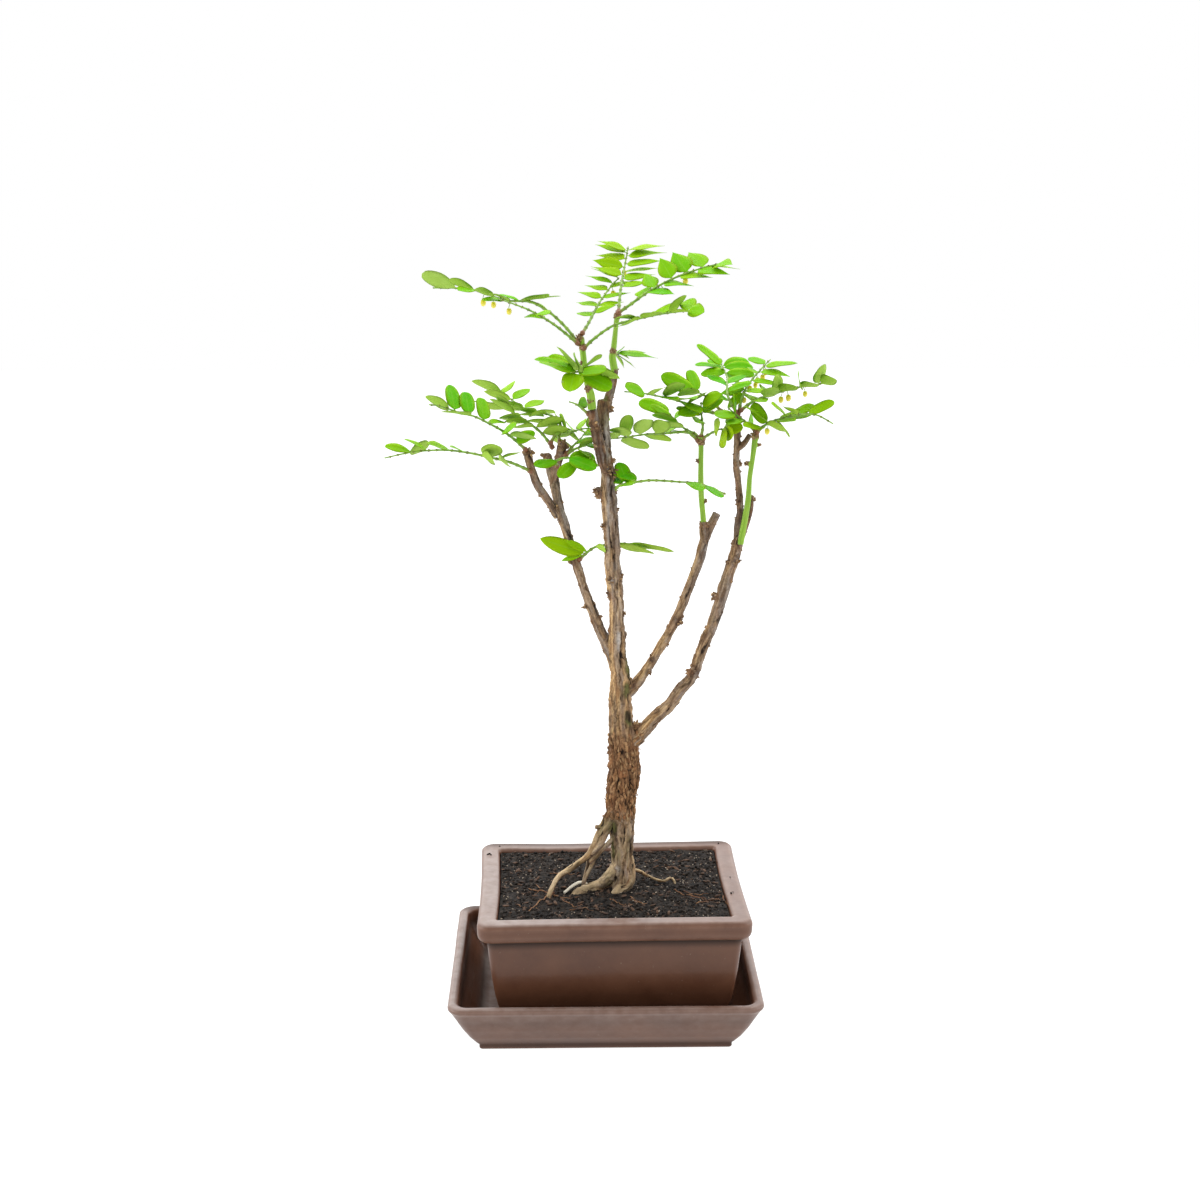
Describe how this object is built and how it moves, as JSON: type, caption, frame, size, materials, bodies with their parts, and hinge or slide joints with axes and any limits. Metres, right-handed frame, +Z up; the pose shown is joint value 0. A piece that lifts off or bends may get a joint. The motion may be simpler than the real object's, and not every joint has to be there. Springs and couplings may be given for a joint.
{
  "type": "phyllanthus buxifolius bonsai",
  "caption": "Bonsai with an upright trunk, knuckled branches and thin sprays of oval leaves, in a rectangular stoneware pot on a flared drip tray.",
  "frame": {"origin": "centre of the drip tray's flat underside", "axes": "+Z up the trunk, +X along the tray's long side, -Y towards the viewer of the tree's front"},
  "size_m": [0.2443, 0.1466, 0.4394],
  "materials": {
    "stoneware": "unglazed chocolate brown stoneware, matt to satin",
    "peat": "near-black peat with brown chips",
    "bark": "rough flaky brown bark below, smoother grey-brown bark above",
    "green_shoot": "smooth green young bark",
    "leaf": "satin vivid green leaves with pale undersides"
  },
  "bodies": {
    "root": {"drip_tray": "stoneware", "pot": "stoneware", "soil": "peat", "trunk": "bark", "shoot_middle": "green_shoot", "shoot_right": "green_shoot", "shoot_crown_left": "green_shoot", "shoot_crown_right": "green_shoot", "spray_crown_left_upper": "leaf", "spray_crown_left_lower": "leaf", "spray_crown_back_left": "leaf", "spray_crown_back": "leaf", "spray_crown_right": "leaf", "spray_crown_front_right": "leaf", "spray_crown_front": "leaf", "spray_crown_back_right": "leaf", "spray_crown_twig": "leaf", "spray_left_low": "leaf", "spray_left_mid": "leaf", "spray_left_back": "leaf", "spray_left_far": "leaf", "spray_left_inner_a": "leaf", "spray_left_inner_b": "leaf", "spray_left_arc": "leaf", "spray_left_front": "leaf", "spray_middle_low": "leaf", "spray_right_inner_low": "leaf", "spray_right_inner_mid": "leaf", "spray_right_up": "leaf", "spray_right_left_up": "leaf", "spray_right_long_left": "leaf", "spray_right_short": "leaf", "spray_right_rosette": "leaf", "spray_right_upper": "leaf", "spray_right_long": "leaf", "spray_right_low": "leaf", "spray_right_between": "leaf", "spray_low_twig": "leaf"}
  },
  "joints": []
}
